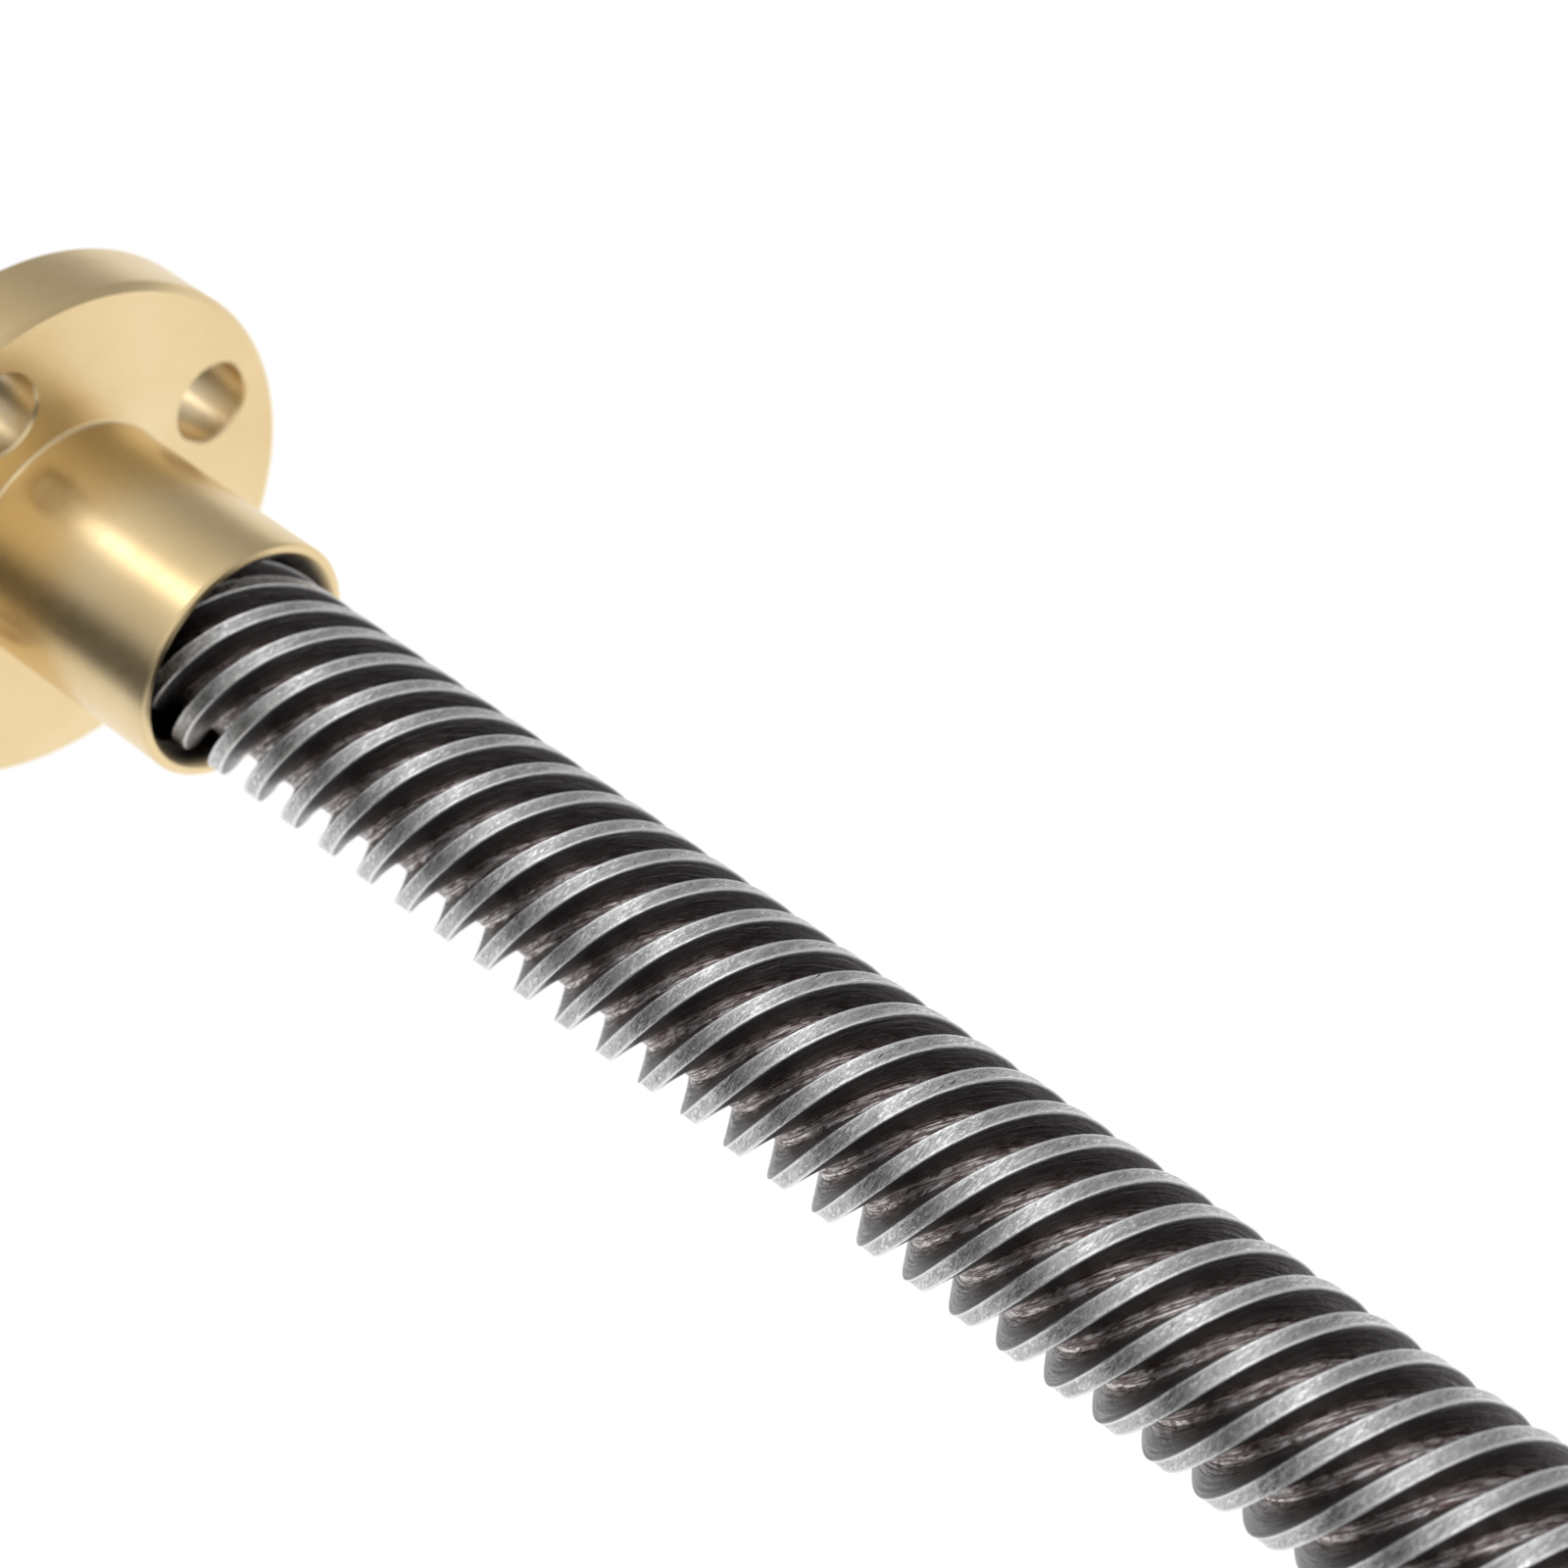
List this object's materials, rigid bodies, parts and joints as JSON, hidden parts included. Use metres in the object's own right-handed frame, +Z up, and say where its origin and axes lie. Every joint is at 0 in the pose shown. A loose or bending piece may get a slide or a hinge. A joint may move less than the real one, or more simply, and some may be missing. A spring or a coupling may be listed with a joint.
{
  "type": "stepper motor with lead screw",
  "caption": "Square-framed hybrid stepper motor whose shaft continues as a multi-start trapezoidal lead screw driving a flanged brass nut.",
  "frame": {"origin": "centre of the motor side face that the motor lies on, midway along the lamination stack; the screw axis is parallel to X, 21.15 mm above it", "axes": "+X along the screw from the motor to the free end, +Z up, connector on top"},
  "size_m": [0.15, 0.0424, 0.0465],
  "materials": {
    "cover_aluminium": "die-cast, machined faces, fine satin",
    "black_lamination": "stacked sheet edges under black varnish",
    "bobbin_nylon": "moulded nylon",
    "enamelled_copper": "enamelled copper wire, wound in rows",
    "rotor_steel": "stacked and ground",
    "magnet": "sintered disc magnet",
    "spacer_brass": "turned",
    "screw_steel": "rolled thread, bright scuffed crests, dark oiled roots",
    "bearing_steel": "ground and polished",
    "shield_steel": "pressed sheet",
    "black_screw_steel": "black oxide",
    "connector_plastic": "moulded",
    "tinned_pin": "tinned",
    "green_board": "solder mask",
    "nut_brass": "turned pale brass, satin faces, bright chamfers"
  },
  "bodies": {
    "motor": {"front_cover": "cover_aluminium", "rear_cover": "cover_aluminium", "stator_core": "black_lamination", "front_bobbin": "bobbin_nylon", "rear_bobbin": "bobbin_nylon", "winding_1": "enamelled_copper", "winding_2": "enamelled_copper", "winding_3": "enamelled_copper", "winding_4": "enamelled_copper", "winding_5": "enamelled_copper", "winding_6": "enamelled_copper", "winding_7": "enamelled_copper", "winding_8": "enamelled_copper", "front_bearing_outer_ring": "bearing_steel", "front_bearing_shield_front": "shield_steel", "front_bearing_shield_rear": "shield_steel", "rear_bearing_outer_ring": "bearing_steel", "rear_bearing_shield_front": "shield_steel", "rear_bearing_shield_rear": "shield_steel", "wave_washer": "shield_steel", "case_screw_1": "black_screw_steel", "case_screw_2": "black_screw_steel", "case_screw_3": "black_screw_steel", "case_screw_4": "black_screw_steel", "connector_housing": "connector_plastic", "connector_pin_1": "tinned_pin", "connector_pin_2": "tinned_pin", "connector_pin_3": "tinned_pin", "connector_pin_4": "tinned_pin", "connector_pin_5": "tinned_pin", "connector_pin_6": "tinned_pin", "terminal_board": "green_board"},
    "rotor": {"rotor_cup_front": "rotor_steel", "rotor_cup_rear": "rotor_steel", "rotor_magnet": "magnet", "rotor_spacer_front": "spacer_brass", "rotor_spacer_rear": "spacer_brass", "lead_screw": "screw_steel", "front_bearing_inner_ring": "bearing_steel", "rear_bearing_inner_ring": "bearing_steel"},
    "front_cage": {"front_bearing_cage": "shield_steel", "front_bearing_ball_1": "bearing_steel", "front_bearing_ball_2": "bearing_steel", "front_bearing_ball_3": "bearing_steel", "front_bearing_ball_4": "bearing_steel", "front_bearing_ball_5": "bearing_steel", "front_bearing_ball_6": "bearing_steel", "front_bearing_ball_7": "bearing_steel"},
    "rear_cage": {"rear_bearing_cage": "shield_steel", "rear_bearing_ball_1": "bearing_steel", "rear_bearing_ball_2": "bearing_steel", "rear_bearing_ball_3": "bearing_steel", "rear_bearing_ball_4": "bearing_steel", "rear_bearing_ball_5": "bearing_steel", "rear_bearing_ball_6": "bearing_steel", "rear_bearing_ball_7": "bearing_steel"},
    "nut": {"lead_nut": "nut_brass"}
  },
  "joints": [
    {"name": "screw_spin", "type": "hinge", "parent": "motor", "child": "rotor", "pos_m": [0, 0, 0.02115], "axis": [1, 0, 0], "range_deg": [-720, 1620]},
    {"name": "nut_travel", "type": "slide", "parent": "motor", "child": "nut", "axis": [1, 0, 0], "range_m": [-0.0241, 0.0541]},
    {"name": "front_cage_spin", "type": "hinge", "parent": "motor", "child": "front_cage", "pos_m": [0, 0, 0.02115], "axis": [1, 0, 0], "range_deg": [-261, 582]},
    {"name": "rear_cage_spin", "type": "hinge", "parent": "motor", "child": "rear_cage", "pos_m": [0, 0, 0.02115], "axis": [1, 0, 0], "range_deg": [-261, 582]}
  ],
  "couplings": [
    {"joint": "nut_travel", "follows": "screw_spin", "m_per_rad": 0.0019099},
    {"joint": "front_cage_spin", "follows": "screw_spin", "ratio": 0.35714},
    {"joint": "rear_cage_spin", "follows": "screw_spin", "ratio": 0.35714}
  ]
}
